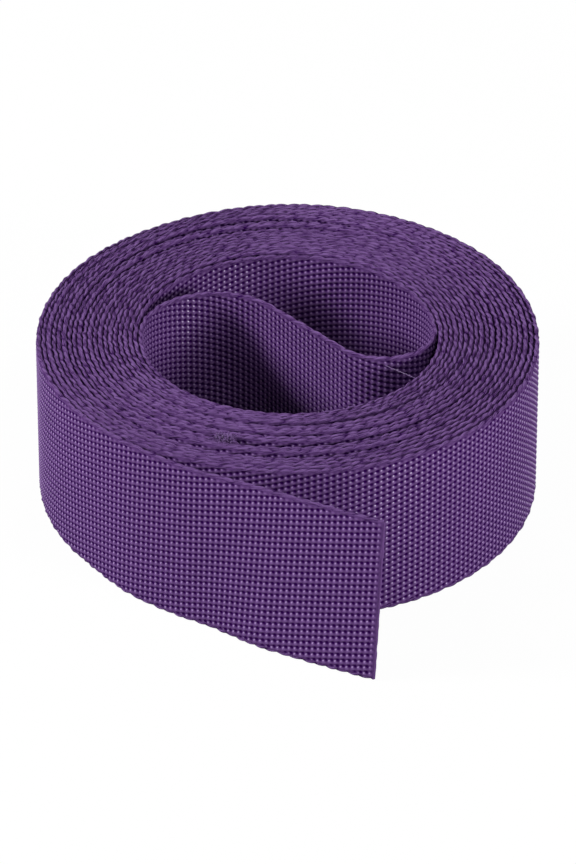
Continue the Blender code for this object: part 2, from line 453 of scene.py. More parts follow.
# %% Fibre and gloss nodes
FIBRE_SCALE = (2.5, 18.0, 1.0)
FIBRE_DETAIL = 2.0
FIBRE_DEPTH = 0.03 * MM
FIBRE_STRENGTH = 0.6
DASH_SCALE = (0.6, 4.5, 1.0)  # of the fibres of the edge yarns
DASH_DEPTH = 0.25 * MM
DASH_NOISE = (0.38, 0.60)  # the part of the noise that is used
DASH_SHIFT = (-0.34, 0.30)  # how far it moves a place towards the colour of a pit, or of a float's top
GLOSS = 0.75  # of the dots, while the pits have none


def streaks(tree, place, scale, detail):
    """Noise that is drawn out along the yarn."""
    drawn = add(tree, "ShaderNodeMapping", {"Vector": place, "Scale": scale}).outputs["Vector"]
    return add(tree, "ShaderNodeTexNoise", {"Vector": drawn, "Scale": 1.0, "Detail": detail}).outputs["Fac"]


def fibre_bumps(tree, place, dashes, on_edge):
    fibres = streaks(tree, place, FIBRE_SCALE, FIBRE_DETAIL)
    fine = {"Height": fibres, "Distance": FIBRE_DEPTH, "Strength": FIBRE_STRENGTH}
    coarse = {"Height": dashes, "Distance": DASH_DEPTH, "Strength": on_edge}
    coarse["Normal"] = add(tree, "ShaderNodeBump", fine).outputs["Normal"]
    return add(tree, "ShaderNodeBump", coarse).outputs["Normal"]


def highlight_gloss(tree, highlight):
    glance = add(tree, "ShaderNodeLayerWeight").outputs["Facing"]
    return calc(tree, "MULTIPLY", calc(tree, "MULTIPLY", highlight, GLOSS), calc(tree, "SUBTRACT", 1.0, glance))


print(f"fibres {FIBRE_DEPTH / MM} mm deep, on the edges {DASH_DEPTH / MM} mm")

# %% [markdown]
# ## The webbing's material
#
# All pieces are of one cloth, so they share one material. The mesh gives it three values for each point:
# relief is how far it stands out, which sets painted shade, darkest in the pits and on the inner side of the
# edge yarns' twist; shine is where a painted highlight lies; and cord is 1 on the yarns of the edge. Its
# coordinates are a UV map counted in picks and ridges, so the fibres keep their size on every piece.

# %% The material
ROUGHNESS = 0.25
YARN_IOR = 1.58
EVEN_GLOSS = 0.10  # all over, for an export that can't carry a gloss that changes
HIGHLIGHT_EDGE = (0.54, 0.98)  # the shine at which a painted highlight begins, and at which it is full


def webbing_material():
    material = bpy.data.materials.new("woven_webbing")
    material.use_nodes = True
    tree = material.node_tree
    relief, shine, on_edge = (
        add(tree, "ShaderNodeAttribute", attribute_name=name).outputs["Fac"]
        for name in ("relief", "shine", "cord")
    )
    place = add(tree, "ShaderNodeUVMap", uv_map="UVMap").outputs["UV"]
    dashes = streaks(tree, place, DASH_SCALE, NOISE_DETAIL)
    level = calc(tree, "MULTIPLY_ADD", on_edge, remap(tree, dashes, DASH_NOISE, DASH_SHIFT), relief)
    # where the painted highlight is laid on the colour, and where the gloss is
    highlight = remap(tree, shine, HIGHLIGHT_EDGE, (0.0, 1.0), interpolation_type="SMOOTHSTEP")
    shader = tree.nodes["Principled BSDF"]
    plug(tree, shader.inputs["Roughness"], ROUGHNESS)
    plug(tree, shader.inputs["IOR"], YARN_IOR)
    plug(tree, shader.inputs["Base Color"], webbing_colour(tree, place, level, highlight))
    plug(tree, shader.inputs["Specular IOR Level"], EVEN_GLOSS)
    plug(tree, shader.inputs["Specular IOR Level"], highlight_gloss(tree, highlight))
    plug(tree, shader.inputs["Normal"], fibre_bumps(tree, place, dashes, on_edge))
    return material


webbing = webbing_material()
print("material", webbing.name, "with", len(webbing.node_tree.nodes), "nodes")

# %% [markdown]
# ## Beginning, ending and running a Geometry Nodes tree
#
# The strap's pieces are made by Geometry Nodes, because each follows a line by a rule. A tree gets its
# sizes as named inputs, so one tree serves many pieces. Instances would be lost in an export, so every tree
# ends with Realize Instances and Set Material, and its result is kept as a plain mesh without the modifier.

# %% Tree helpers
CAP_CORNERS = 5  # a face with so many corners closes the end of a tube, and stays flat


def new_tree(name, sizes):
    """An empty tree with a geometry, a material and named sizes as its inputs."""
    tree = bpy.data.node_groups.new(name, "GeometryNodeTree")
    tree.interface.new_socket("Geometry", in_out="INPUT", socket_type="NodeSocketGeometry")
    tree.interface.new_socket("Geometry", in_out="OUTPUT", socket_type="NodeSocketGeometry")
    tree.interface.new_socket("Material", in_out="INPUT", socket_type="NodeSocketMaterial")
    for size in sizes:
        kind = "NodeSocketObject" if size == "Profile" else "NodeSocketFloat"
        tree.interface.new_socket(size, in_out="INPUT", socket_type=kind)
    return tree, tree.nodes.new("NodeGroupInput").outputs


def end_tree(tree, geometry, material):
    corners = add(tree, "GeometryNodeInputMeshFaceNeighbors").outputs["Vertex Count"]
    rounded = calc(tree, "LESS_THAN", corners, CAP_CORNERS)
    shaded = add(tree, "GeometryNodeSetShadeSmooth", {"Geometry": geometry, "Shade Smooth": rounded})
    real = add(tree, "GeometryNodeRealizeInstances", {"Geometry": shaded.outputs[0]})
    painted = add(tree, "GeometryNodeSetMaterial", {"Geometry": real.outputs[0], "Material": material})
    tree.links.new(painted.outputs[0], tree.nodes.new("NodeGroupOutput").inputs[0])
    print(tree.name, "tree has", len(tree.nodes), "nodes")


def run_tree(line, tree, sizes):
    """Sets a tree's inputs by their identifiers, and turns the line into the plain mesh that it makes."""
    work = line.modifiers.new(tree.name, "NODES")
    work.node_group = tree
    values = {"Material": webbing, **sizes}
    for item in tree.interface.items_tree:
        if item.in_out == "INPUT" and item.name in values:
            work[item.identifier] = values[item.name]
    graph = bpy.context.evaluated_depsgraph_get()
    mesh = bpy.data.meshes.new_from_object(
        line.evaluated_get(graph), preserve_all_data_layers=True, depsgraph=graph
    )
    line.modifiers.clear()
    bpy.data.objects.remove(line)
    return mesh


# %% [markdown]
# ## Nodes that the trees share
#
# Each tree sweeps a section along a line, moves points, and stores values on them for the material. These
# helpers are the nodes for that, so that a tree below reads as its own rule and little else.

# %% Shape helpers
def scaled(tree, direction, amount):
    both = {"Vector": direction, "Scale": amount}
    return add(tree, "ShaderNodeVectorMath", both, operation="SCALE").outputs[0]


def vector_calc(tree, operation, first, second):
    node = add(tree, "ShaderNodeVectorMath", operation=operation)
    plug(tree, node.inputs[0], first)
    plug(tree, node.inputs[1], second)
    return node.outputs[0]


def vector(tree, **axes):
    return add(tree, "ShaderNodeCombineXYZ", axes).outputs[0]


def store(tree, geometry, name, value, data_type="FLOAT", domain="POINT"):
    inputs = {"Geometry": geometry, "Name": name, "Value": value}
    kept = add(tree, "GeometryNodeStoreNamedAttribute", inputs, data_type=data_type, domain=domain)
    return kept.outputs["Geometry"]


def named(tree, name, data_type="FLOAT"):
    node = add(tree, "GeometryNodeInputNamedAttribute", {"Name": name}, data_type=data_type)
    return node.outputs["Attribute"]


def ring(tree, sides, radius):
    return add(tree, "GeometryNodeCurvePrimitiveCircle", {"Resolution": sides, "Radius": radius}).outputs[0]


def sweep(tree, line, section):
    inputs = {"Curve": line, "Profile Curve": section, "Fill Caps": True}
    return add(tree, "GeometryNodeCurveToMesh", inputs).outputs[0]


def moved(tree, geometry, offset):
    return add(tree, "GeometryNodeSetPosition", {"Geometry": geometry, "Offset": offset}).outputs[0]


def upright_line(tree, line):
    return add(tree, "GeometryNodeSetCurveNormal", {"Curve": line}, mode="Z_UP").outputs[0]


print("node trees so far", len(bpy.data.node_groups))

# %% [markdown]
# ## The strap's section
#
# Seen at its end, webbing is a flat bar with rounded edges. It could be a rectangle, but the sweep has to
# know which points belong to a woven face. So each point of this closed outline stores its height and how
# much of the weave stands out there: 1 on the right face, -1 on the left, and 0 where nothing shows. A face
# that lies hidden on the next layer has few points, and one at a gap is woven only at its top.

# %% Sections
PITCH_ACROSS = 1.80 * MM  # from one ridge of the weave to the next
STEPS_ACROSS = 6  # points to one ridge
HALF_BODY = 0.58 * MM  # half the thickness of the webbing, without its raised floats
HALF_PLAIN = 0.725 * MM  # the same for a hidden face, which has no floats and lies on the next layer
EDGE_MARGIN = 0.9 * MM  # left to the edge yarns
EDGE_FADE = 0.6 * MM  # in which the weave dies away at an edge
FLAT_POINTS = 3
TOP_SHARE = 0.16  # of the width, which can show in a gap between two layers


def side_of_section(share):
    """Heights up one face, and how much of the weave stands out at each."""
    reach = STRAP_WIDTH / 2 - EDGE_MARGIN
    if share == 0:
        return np.linspace(-reach, reach, FLAT_POINTS), np.zeros(FLAT_POINTS)
    count = round(2 * reach * share * STEPS_ACROSS / PITCH_ACROSS)
    heights = np.linspace(reach - 2 * reach * share, reach, count + 1)
    depth = smooth((reach - heights) / EDGE_FADE) * smooth((heights - heights[0]) / EDGE_FADE)
    if share < 1:
        return np.concatenate([[-reach], heights]), np.concatenate([[0.0], depth])
    return heights, depth


def section_object(name, right_share, left_share):
    """A closed outline: left face upwards, over the rounded top edge, right face down, round the foot."""
    right, right_depth = side_of_section(right_share)
    left, left_depth = side_of_section(left_share)
    right_half, left_half = (HALF_BODY if share else HALF_PLAIN for share in (right_share, left_share))
    top = STRAP_WIDTH / 2 - EDGE_MARGIN / 2
    heights = np.concatenate([left, [top], right[::-1], [-top]])
    sides = np.concatenate([np.full(len(left), -left_half), [0.0], np.full(len(right), right_half), [0.0]])
    face = np.concatenate([-left_depth, [0.0], right_depth[::-1], [0.0]])
    count = len(heights)
    mesh = bpy.data.meshes.new(name)
    points = [(side, -height, 0.0) for side, height in zip(sides, heights)]
    mesh.from_pydata(points, [(i, (i + 1) % count) for i in range(count)], [])
    mesh.attributes.new("across", "FLOAT", "POINT").data.foreach_set("value", heights)
    mesh.attributes.new("face", "FLOAT", "POINT").data.foreach_set("value", face)
    section = bpy.data.objects.new(name, mesh)
    bpy.context.scene.collection.objects.link(section)
    section.hide_render = True
    return section


woven_shares = {
    "plain": (0, 0),
    "right": (1, 0),
    "left": (0, 1),
    "both": (1, 1),
    "right top": (TOP_SHARE, 0),
    "left top": (0, TOP_SHARE),
}
profiles = {
    faces: section_object("profile_" + faces.replace(" ", "_"), right_share, left_share)
    for faces, (right_share, left_share) in woven_shares.items()
}
print("points of each section", {faces: len(section.data.vertices) for faces, section in profiles.items()})

# %% [markdown]
# ## The weave
#
# The cloth is a twill: ridges 1.80 mm apart over the width, crossed by a pick of the weft every 1.77 mm. A
# ridge climbs by a quarter of its pitch with each pick. A bump map would look flat at the roll's outline,
# and thousands of single yarns would be too heavy. So the swept face is raised by the sum of three waves:
# the ridges, the picks that lift them, and the lean of the floats. Where one face stands out the other
# sinks in.

# %% The weave as three waves
TWILL_REPEAT = 4  # picks
SPOT_OVER = 0.56  # shares of the two waves that place a painted highlight, over the ridges and along the picks
SPOT_BESIDE = 0.44
MELT_WIDTH = 0.2 * MM  # of the tail's cut end, which was sealed with heat
WEAVE = {
    "Pitch Along": PITCH_ALONG,
    "Pitch Across": PITCH_ACROSS,
    "Repeat": TWILL_REPEAT,
    "Ridge": 0.13 * MM,  # how far the ridges stand out
    "Pick": 0.09 * MM,  # how far each pick lifts what lies on it
    "Slant": 0.06 * MM,  # how far the floats lean over
    "Slant Turn": math.radians(103.0),
    "Shine Turn": math.radians(118.0),  # how far over its ridge the painted highlight on a float lies
    "End": strap_length - MELT_WIDTH,
    "End Fade": 0.8 * MM,  # in which the weave dies away before the cut end
}


def strap_line(tree, given):
    """The line, on which each point keeps its distance along the strap and which way is sideways."""
    number = add(tree, "GeometryNodeInputIndex").outputs[0]
    distance = calc(tree, "ADD", calc(tree, "MULTIPLY", number, given["Step"]), given["Start"])
    line = store(tree, upright_line(tree, given["Geometry"]), "along", distance)
    sideways = add(tree, "GeometryNodeInputNormal").outputs[0]
    return store(tree, line, "sideways", sideways, "FLOAT_VECTOR")


def before_end(tree, given):
    """1 on the strap, and falling to 0 at its sealed end."""
    left = calc(tree, "SUBTRACT", given["End"], named(tree, "along"))
    share = calc(tree, "DIVIDE", left, given["End Fade"])
    return calc(tree, "MAXIMUM", calc(tree, "MINIMUM", share, 1.0), 0.0)


def woven_strap_tree():
    tree, given = new_tree("Woven strap", ["Profile", "Start", "Step", *WEAVE])
    outline = add(tree, "GeometryNodeObjectInfo", {"Object": given["Profile"]}).outputs["Geometry"]
    section = add(tree, "GeometryNodeMeshToCurve", {"Mesh": outline}).outputs[0]
    strap = sweep(tree, strap_line(tree, given), section)
    picks = calc(tree, "DIVIDE", named(tree, "along"), given["Pitch Along"])
    rows = calc(tree, "DIVIDE", named(tree, "across"), given["Pitch Across"])
    climbed = calc(tree, "SUBTRACT", rows, calc(tree, "DIVIDE", picks, given["Repeat"]))
    pick_turn = calc(tree, "MULTIPLY", picks, 2 * math.pi)
    ridge_turn = calc(tree, "MULTIPLY", climbed, 2 * math.pi)
    slant_turn = calc(tree, "SUBTRACT", calc(tree, "ADD", pick_turn, ridge_turn), given["Slant Turn"])
    level, most = 0.0, 0.0
    for turn, size in ((ridge_turn, "Ridge"), (pick_turn, "Pick"), (slant_turn, "Slant")):
        level = calc(tree, "ADD", level, calc(tree, "MULTIPLY", calc(tree, "COSINE", turn), given[size]))
        most = calc(tree, "ADD", most, given[size])
    face = named(tree, "face")
    kept_weave = before_end(tree, given)
    depth = calc(tree, "MULTIPLY", calc(tree, "MULTIPLY", level, face), kept_weave)
    sunk = calc(tree, "MULTIPLY", depth, calc(tree, "SIGN", face))
    strap = moved(tree, strap, scaled(tree, named(tree, "sideways", "FLOAT_VECTOR"), sunk))
    # how far the face stands out here, which the material turns into painted shade, darkest in the pits
    share = calc(tree, "DIVIDE", depth, most)
    strap = store(tree, strap, "relief", remap(tree, share, (-1.0, 1.0), (0.0, 1.0)))
    # where the painted highlight lies on each float, which also places the gloss
    over = calc(tree, "COSINE", calc(tree, "SUBTRACT", ridge_turn, given["Shine Turn"]))
    beside = calc(tree, "MULTIPLY", calc(tree, "COSINE", pick_turn), SPOT_BESIDE)
    spot = calc(tree, "MULTIPLY_ADD", over, SPOT_OVER, beside)
    shine = calc(tree, "MULTIPLY", calc(tree, "MULTIPLY", spot, face), kept_weave)
    strap = store(tree, strap, "shine", shine)
    strap = store(tree, strap, "UVMap", vector(tree, X=picks, Y=rows), "FLOAT2", "CORNER")
    end_tree(tree, strap, given["Material"])
    return tree


woven_tree = woven_strap_tree()

# %% [markdown]
# ## A woven stretch
#
# One call makes a stretch of strap between two distances. Six points to each pick are enough for the light
# to find the round of a float. Layers that show nothing but their edges get a point every 4 mm instead, or
# the seven metres of strap would be too heavy to open.

# %% Woven stretches
STEPS_ALONG = 6  # points to one pick
CORE_STEP = 4.0 * MM


def woven_mesh(name, first, last, faces):
    line = stretch(name, first, last, CORE_STEP if faces == "plain" else PITCH_ALONG / STEPS_ALONG)
    steps = len(line.data.splines[0].points) - 1
    own = {"Profile": profiles[faces], "Start": first, "Step": (last - first) / steps}
    return run_tree(line, woven_tree, own | WEAVE)


print(f"woven points every {PITCH_ALONG / STEPS_ALONG / MM:.3f} mm")

# %% [markdown]
# ## The bound edges
#
# On top of the roll each layer shows as a row of long slanted strokes: two yarns that twist round each
# other and bind the edge. A Screw modifier could twist them, but only about a straight axis. Here two tubes
# follow the strap's line, half a turn apart, and sway and rise by a sine and a cosine. The twist runs a
# little ahead or falls behind, by noise, so that neighbouring layers don't line up.

# %% The edge's two yarns
STRAND_RADIUS = 0.45 * MM
STRAND_RISE = 0.30 * MM
STRAND_PAINTED_SHADE = (0.44, 0.80)  # painted shade of the twist: darkest where a strand turns in under the other, lightest where it lies outermost, as places between pit and float
EDGE = {
    "Strand Radius": STRAND_RADIUS,
    "Strand Sway": 0.23 * MM,
    "Strand Rise": STRAND_RISE,
    "Lay": TWILL_REPEAT * PITCH_ALONG,  # one full twist
    "Wave": 0.14 * MM,  # the edge sways to the side on which a ridge comes to it
    "Pitch Across": PITCH_ACROSS,
    "Drift": 1.2,  # turns by which the twist can differ, from farthest ahead to farthest behind
    "Drift Length": 34.0 * MM,
    "Sides": 6,
}


def drift(tree, given, travelled):
    place = calc(tree, "DIVIDE", travelled, given["Drift Length"])
    noise = add(tree, "ShaderNodeTexNoise", {"W": place, "Scale": 1.0, "Detail": 1.0}, noise_dimensions="1D")
    return calc(tree, "MULTIPLY", calc(tree, "SUBTRACT", noise.outputs[0], 0.5), given["Drift"])


def edge_tree():
    tree, given = new_tree("Bound edge", ["Start", "Edge Height", *EDGE])
    length = add(tree, "GeometryNodeSplineParameter").outputs["Length"]
    travelled = calc(tree, "ADD", length, given["Start"])
    line = store(tree, upright_line(tree, given["Geometry"]), "along", travelled)
    normal = add(tree, "GeometryNodeInputNormal").outputs[0]
    up = vector_calc(tree, "CROSS_PRODUCT", normal, add(tree, "GeometryNodeInputTangent").outputs[0])
    turns = calc(tree, "DIVIDE", travelled, given["Lay"])
    twisted = calc(tree, "ADD", turns, drift(tree, given, travelled))
    row = calc(tree, "DIVIDE", given["Edge Height"], given["Pitch Across"])
    climbed = calc(tree, "SUBTRACT", row, turns)
    wave_turn = calc(tree, "MULTIPLY", climbed, 2 * math.pi)
    wave = scaled(tree, normal, calc(tree, "MULTIPLY", calc(tree, "COSINE", wave_turn), given["Wave"]))
    circle = ring(tree, calc(tree, "ROUND", given["Sides"]), given["Strand Radius"])
    around = add(tree, "GeometryNodeSplineParameter").outputs["Factor"]
    section = store(tree, circle, "around", around)
    joined = add(tree, "GeometryNodeJoinGeometry")
    for half_turn in (0.0, 0.5):
        angle = calc(tree, "MULTIPLY", calc(tree, "ADD", twisted, half_turn), 2 * math.pi)
        sine, cosine = calc(tree, "SINE", angle), calc(tree, "COSINE", angle)
        # painted shade: each strand is coloured darker where it turns inwards and lighter where it lies
        # outermost
        outer = calc(tree, "MULTIPLY", sine, calc(tree, "SIGN", given["Edge Height"]))
        strand = store(tree, line, "relief", remap(tree, outer, (-1.0, 1.0), STRAND_PAINTED_SHADE))
        sway = scaled(tree, normal, calc(tree, "MULTIPLY", cosine, given["Strand Sway"]))
        lift = calc(tree, "MULTIPLY_ADD", sine, given["Strand Rise"], given["Edge Height"])
        offset = vector_calc(tree, "ADD", vector_calc(tree, "ADD", sway, scaled(tree, up, lift)), wave)
        tree.links.new(sweep(tree, moved(tree, strand, offset), section), joined.inputs[0])
    place = vector(tree, X=calc(tree, "DIVIDE", named(tree, "along"), PITCH_ALONG), Y=named(tree, "around"))
    edge = store(tree, joined.outputs[0], "UVMap", place, "FLOAT2", "CORNER")
    end_tree(tree, store(tree, edge, "cord", 1.0), given["Material"])
    return tree


bound_edge = edge_tree()

# %% [markdown]
# ## A bound stretch
#
# The same tree binds the upper and the lower edge, by the sign of the edge's height. Its points can be
# coarser on the lower edges that lie hidden on the floor.

# %% Bound stretches
EDGE_LINE = STRAP_WIDTH / 2 - STRAND_RADIUS - STRAND_RISE
EDGE_STEP = 0.60 * MM
BOTTOM_STEP = 2.2 * MM


def edge_mesh(name, first, last, side, step=EDGE_STEP):
    own = {"Start": first, "Edge Height": side * EDGE_LINE}
    return run_tree(stretch(name, first, last, step), bound_edge, own | EDGE)


print(f"edge yarns {EDGE_LINE / MM:.2f} mm from the middle of the strap")

# %% [markdown]
# ## From meshes to pieces
#
# A piece is an object with a mesh, the webbing's slot, and its origin at the frame's. Some pieces are put
# together from several meshes: joining the objects keeps every attribute that the material reads.

# %% Piece helpers
def piece(name, mesh):
    made = bpy.data.objects.new(name, mesh)
    mesh.name = name
    bpy.context.scene.collection.objects.link(made)
    print(name, sum(len(face.vertices) - 2 for face in mesh.polygons), "triangles")
    return made


def joined_mesh(name, meshes):
    if len(meshes) == 1:
        return meshes[0]
    parts = [bpy.data.objects.new(name, mesh) for mesh in meshes]
    for part in parts:
        bpy.context.scene.collection.objects.link(part)
    with bpy.context.temp_override(active_object=parts[0], selected_editable_objects=parts):
        bpy.ops.object.join()
    mesh = parts[0].data
    bpy.data.objects.remove(parts[0])
    return mesh


# %% [markdown]
# ## The layers inside
#
# Between the eye and the outermost turn the layers lie on each other, and only their edges show. They are
# plain there. Where a layer stands at one of the gaps, the top of its face is woven, because that is where
# a viewer looks into the roll.

# %% Plain layers with woven tops
def place_of(wound):
    """The distance along the strap at which the long leg has wound round so far."""
    first = len(short_leg) + len(s_fold)
    return np.interp(wound, long_turns, along[first : first + len(long_leg)])


def layers_mesh(name, first, last):
    meshes = []
    done = first
    for wound, shows, _, _ in sorted(SLACK):
        begin, end = (whole(place_of(wound + turn)) for turn in (-SLACK_ARC, SLACK_ARC))
        if begin < first or end > last:
            continue
        meshes.append(woven_mesh(name, done, begin, "plain"))
        meshes.append(woven_mesh(name, begin, end, "right top" if shows == "outer" else "left top"))
        done = end
    meshes.append(woven_mesh(name, done, last, "plain"))
    return joined_mesh(name, meshes)


LAYERS_CUT = 1700.0  # degrees wound, between two gaps
layers_middle = whole(place_of(LAYERS_CUT))
print(f"the long leg's layers are cut in two at {layers_middle:.3f} m")

# %% [markdown]
# ## Pieces of the roll
#
# The faces that show are woven: the wall of the eye, both faces of the fold, and the outside of the
# outermost turn. One mesh for all would be too large to handle, so the strap is cut into stretches, each at
# a whole pick.

# %% Cut and make the roll
FOLD_PIECES = 3
OUTER_PIECES = 3
half_turn_length = math.pi * (EYE_RADIUS + LAYER_PITCH / 2)
eye_short = whole(fold_first - half_turn_length)
eye_long = whole(fold_last + half_turn_length)
fold_a = whole(fold_first)
fold_b = whole(fold_last)
roll_end = whole(tail_first)
outer_a = whole(outer_first) + PITCH_ALONG  # one pick after the tail's root, so that it isn't hidden there

roll_stretches = {
    "short_leg_layers": (0.0, eye_short, "plain"),
    "eye_wall_short_leg": (eye_short, fold_a, "right"),
    "eye_wall_long_leg": (fold_b, eye_long, "left"),
    "long_leg_inner_layers": (eye_long, layers_middle, "plain"),
    "long_leg_outer_layers": (layers_middle, outer_a, "plain"),
}
for start, count, first, last, faces in (
    ("fold", FOLD_PIECES, fold_a, fold_b, "both"),
    ("outer_turn", OUTER_PIECES, outer_a, roll_end, "right"),
):
    cuts = [whole(place) for place in np.linspace(first, last, count + 1)]
    for i in range(count):
        roll_stretches[f"{start}_{i + 1}"] = (cuts[i], cuts[i + 1], faces)

roll_pieces = {}
for name, (first, last, faces) in roll_stretches.items():
    mesh = layers_mesh(name, first, last) if faces == "plain" else woven_mesh(name, first, last, faces)
    roll_pieces[name] = piece(name, mesh)

# %% [markdown]
# ## Edges of the roll
#
# The edges are pieces of their own, because they are cut at other places than the faces: what counts here
# is that no piece becomes too heavy.

# %% Bind the roll's edges
edge_middle = whole((fold_b + roll_end) / 2)
edge_stretches = {
    "top_edge_short_leg": (0.0, fold_b, 1, EDGE_STEP),
    "top_edge_inner": (fold_b, edge_middle, 1, EDGE_STEP),
    "top_edge_outer": (edge_middle, roll_end, 1, EDGE_STEP),
    "bottom_edge_inner": (0.0, outer_a, -1, BOTTOM_STEP),
    "bottom_edge_outer": (outer_a, roll_end, -1, EDGE_STEP),
}
edge_pieces = [
    piece(name, edge_mesh(name, first, last, side, step))
    for name, (first, last, side, step) in edge_stretches.items()
]

# %% [markdown]
# ## The melted end
#
# The tail's cut end was sealed with heat, which leaves a smooth and uneven bead. A bevelled curve would be
# an even rod. Here noise moves the points of a swept ring in and out along their normals.

# %% The tail's melted end
MELT_RADIUS = 0.48 * MM
MELT_POINTS = 120
MELT_SIDES = 10
MELT_DETAIL = 2.0
MELT = {"Radius": MELT_RADIUS, "Lump Size": 4.5 * MM, "Lump Height": 0.8 * MM, "Shade": 0.62}


def flat_uv(tree, geometry, place):
    """One yarn's place in the weave for every point, so that the fibres and the shades run over it too."""
    return store(tree, geometry, "UVMap", vector(tree, X=place, Y=0.5), "FLOAT2", "CORNER")


def across_strap(distance, heights):
    """Points at those heights over the middle line, with the strap's lean."""
    ahead, here = places_at([distance, distance - MM])
    travel = (ahead - here)[:2] / np.hypot(*(ahead - here)[:2])
    tilt = np.interp(distance, along, lean)
    up = np.array([-math.sin(tilt) * travel[1], math.sin(tilt) * travel[0], math.cos(tilt)])
    return ahead + np.asarray(heights)[:, None] * up


def melted_end_tree():
    tree, given = new_tree("Melted end", MELT)
    length = add(tree, "GeometryNodeSplineParameter").outputs["Length"]
    line = store(tree, given["Geometry"], "along", calc(tree, "DIVIDE", length, PITCH_ALONG))
    bead = sweep(tree, line, ring(tree, MELT_SIDES, given["Radius"]))
    position = add(tree, "GeometryNodeInputPosition").outputs[0]
    place = scaled(tree, position, calc(tree, "DIVIDE", 1.0, given["Lump Size"]))
    noise = add(tree, "ShaderNodeTexNoise", {"Vector": place, "Scale": 1.0, "Detail": MELT_DETAIL})
    lump = calc(tree, "MULTIPLY", calc(tree, "SUBTRACT", noise.outputs[0], 0.5), given["Lump Height"])
    bead = moved(tree, bead, scaled(tree, add(tree, "GeometryNodeInputNormal").outputs[0], lump))
    bead = store(tree, bead, "relief", given["Shade"])
    end_tree(tree, flat_uv(tree, bead, named(tree, "along")), given["Material"])
    return tree


melt_heights = np.linspace(MELT_RADIUS - STRAP_WIDTH / 2, STRAP_WIDTH / 2 - MELT_RADIUS, MELT_POINTS)
melt_line = line_object("melted_end", across_strap(strap_length, melt_heights))
melted_end = run_tree(melt_line, melted_end_tree(), MELT)
print("melted end", len(melted_end.polygons), "faces")

# %% [markdown]
# ## The frayed end
#
# The short leg's end, which shows on top of the roll, has frayed into a small tuft. Blender's hair would be
# lost in an export. So one bent fibre is made, and instances of it stand on points of the edge, turned and
# scaled by random values with fixed seeds.

# %% The short leg's frayed end
FRAY_RUN = 4.4 * MM  # of the short leg's top edge
FRAY_POINTS = 5
FRAY_SIDES = 4
FIBRE_POINTS = 6
FIBRE_BEND = 0.6  # shares of a fibre's length: how high it bends, and how far out and up its tip is
FIBRE_OUT = 0.5
FIBRE_UP = 0.7
FIBRE_SIZES = (0.35, 1.15)
TURN_SEED = 7
SIZE_SEED = 11
FRAY = {
    "Fibres": 220,
    "Fibre Length": 3.2 * MM,
    "Fibre Radius": 0.09 * MM,
    "Spread": math.radians(75.0),
    "Shade": 0.95,
    # the shine mixes part of the painted highlight colour and of the gloss into the tuft, which makes it
    # paler
    "Shine": 0.65,
}


def shaded_fibre(tree, given, line, sides):
    """A tube along the line with one colour, partly the painted highlight colour, one gloss and one place in
    the weave.
    """
    tube = sweep(tree, line, ring(tree, sides, given["Fibre Radius"]))
    tube = store(tree, store(tree, tube, "relief", given["Shade"]), "shine", given["Shine"])
    return flat_uv(tree, tube, 0.5)


def frayed_end_tree():
    tree, given = new_tree("Frayed end", FRAY)
    bend, out, up = (
        calc(tree, "MULTIPLY", given["Fibre Length"], share) for share in (FIBRE_BEND, FIBRE_OUT, FIBRE_UP)
    )
    bow = {
        "Resolution": FIBRE_POINTS,
        "Start": (0.0, 0.0, 0.0),
        "Middle": vector(tree, Z=bend),
        "End": vector(tree, X=out, Z=up),
    }
    fibre = add(tree, "GeometryNodeCurveQuadraticBezier", bow).outputs[0]
    most = vector(tree, X=given["Spread"], Y=given["Spread"], Z=math.pi)
    turns = {"Min": scaled(tree, most, -1.0), "Max": most, "Seed": TURN_SEED}
    sizes = {"Min": FIBRE_SIZES[0], "Max": FIBRE_SIZES[1], "Seed": SIZE_SEED}
    roots = {"Curve": given["Geometry"], "Count": calc(tree, "ROUND", given["Fibres"])}
    tuft = {
        "Points": add(tree, "GeometryNodeCurveToPoints", roots, mode="COUNT").outputs["Points"],
        "Instance": shaded_fibre(tree, given, fibre, FRAY_SIDES),
        "Rotation": add(tree, "FunctionNodeRandomValue", turns, data_type="FLOAT_VECTOR").outputs["Value"],
        "Scale": add(tree, "FunctionNodeRandomValue", sizes, data_type="FLOAT").outputs["Value"],
    }
    end_tree(tree, add(tree, "GeometryNodeInstanceOnPoints", tuft).outputs[0], given["Material"])
    return tree


fray_places = np.linspace(0.0, FRAY_RUN, FRAY_POINTS)
fray_points = np.array([across_strap(place + MM, [EDGE_LINE])[0] for place in fray_places])
fray_line = line_object("frayed_short_end", fray_points)
edge_pieces.append(piece("frayed_short_end", run_tree(fray_line, frayed_end_tree(), FRAY)))

# %% [markdown]
# ## The loose fibre
#
# One pale fibre has come loose and hangs in the eye. Part of its paleness is painted highlight. It is a tube
# that grows thinner towards its tip. Three points place it: its root in the roll's inner edge, a point that
# it bends towards, and its tip.

# %% One loose fibre
LOOSE_ROOT = np.array([38.4, -9.6, 49.0]) * MM
LOOSE_MIDDLE = np.array([32.0, -6.0, 50.0]) * MM
LOOSE_TIP = np.array([28.1, -1.3, 49.0]) * MM
LOOSE_POINTS = 16
LOOSE_SIDES = 5
LOOSE_TAPER = (1.0, 0.4)  # of its radius, at the root and at the tip
# the shine mixes part of the painted highlight colour and of the gloss into the fibre, which makes it paler
LOOSE = {"Fibre Radius": 0.075 * MM, "Shade": 0.95, "Shine": 0.7}


def loose_fibre_tree():
    tree, given = new_tree("Loose fibre", LOOSE)
    share = add(tree, "GeometryNodeSplineParameter").outputs["Factor"]
    taper = {"Curve": given["Geometry"], "Radius": remap(tree, share, (0.0, 1.0), LOOSE_TAPER)}
    line = add(tree, "GeometryNodeSetCurveRadius", taper).outputs[0]
    end_tree(tree, shaded_fibre(tree, given, line, LOOSE_SIDES), given["Material"])
    return tree


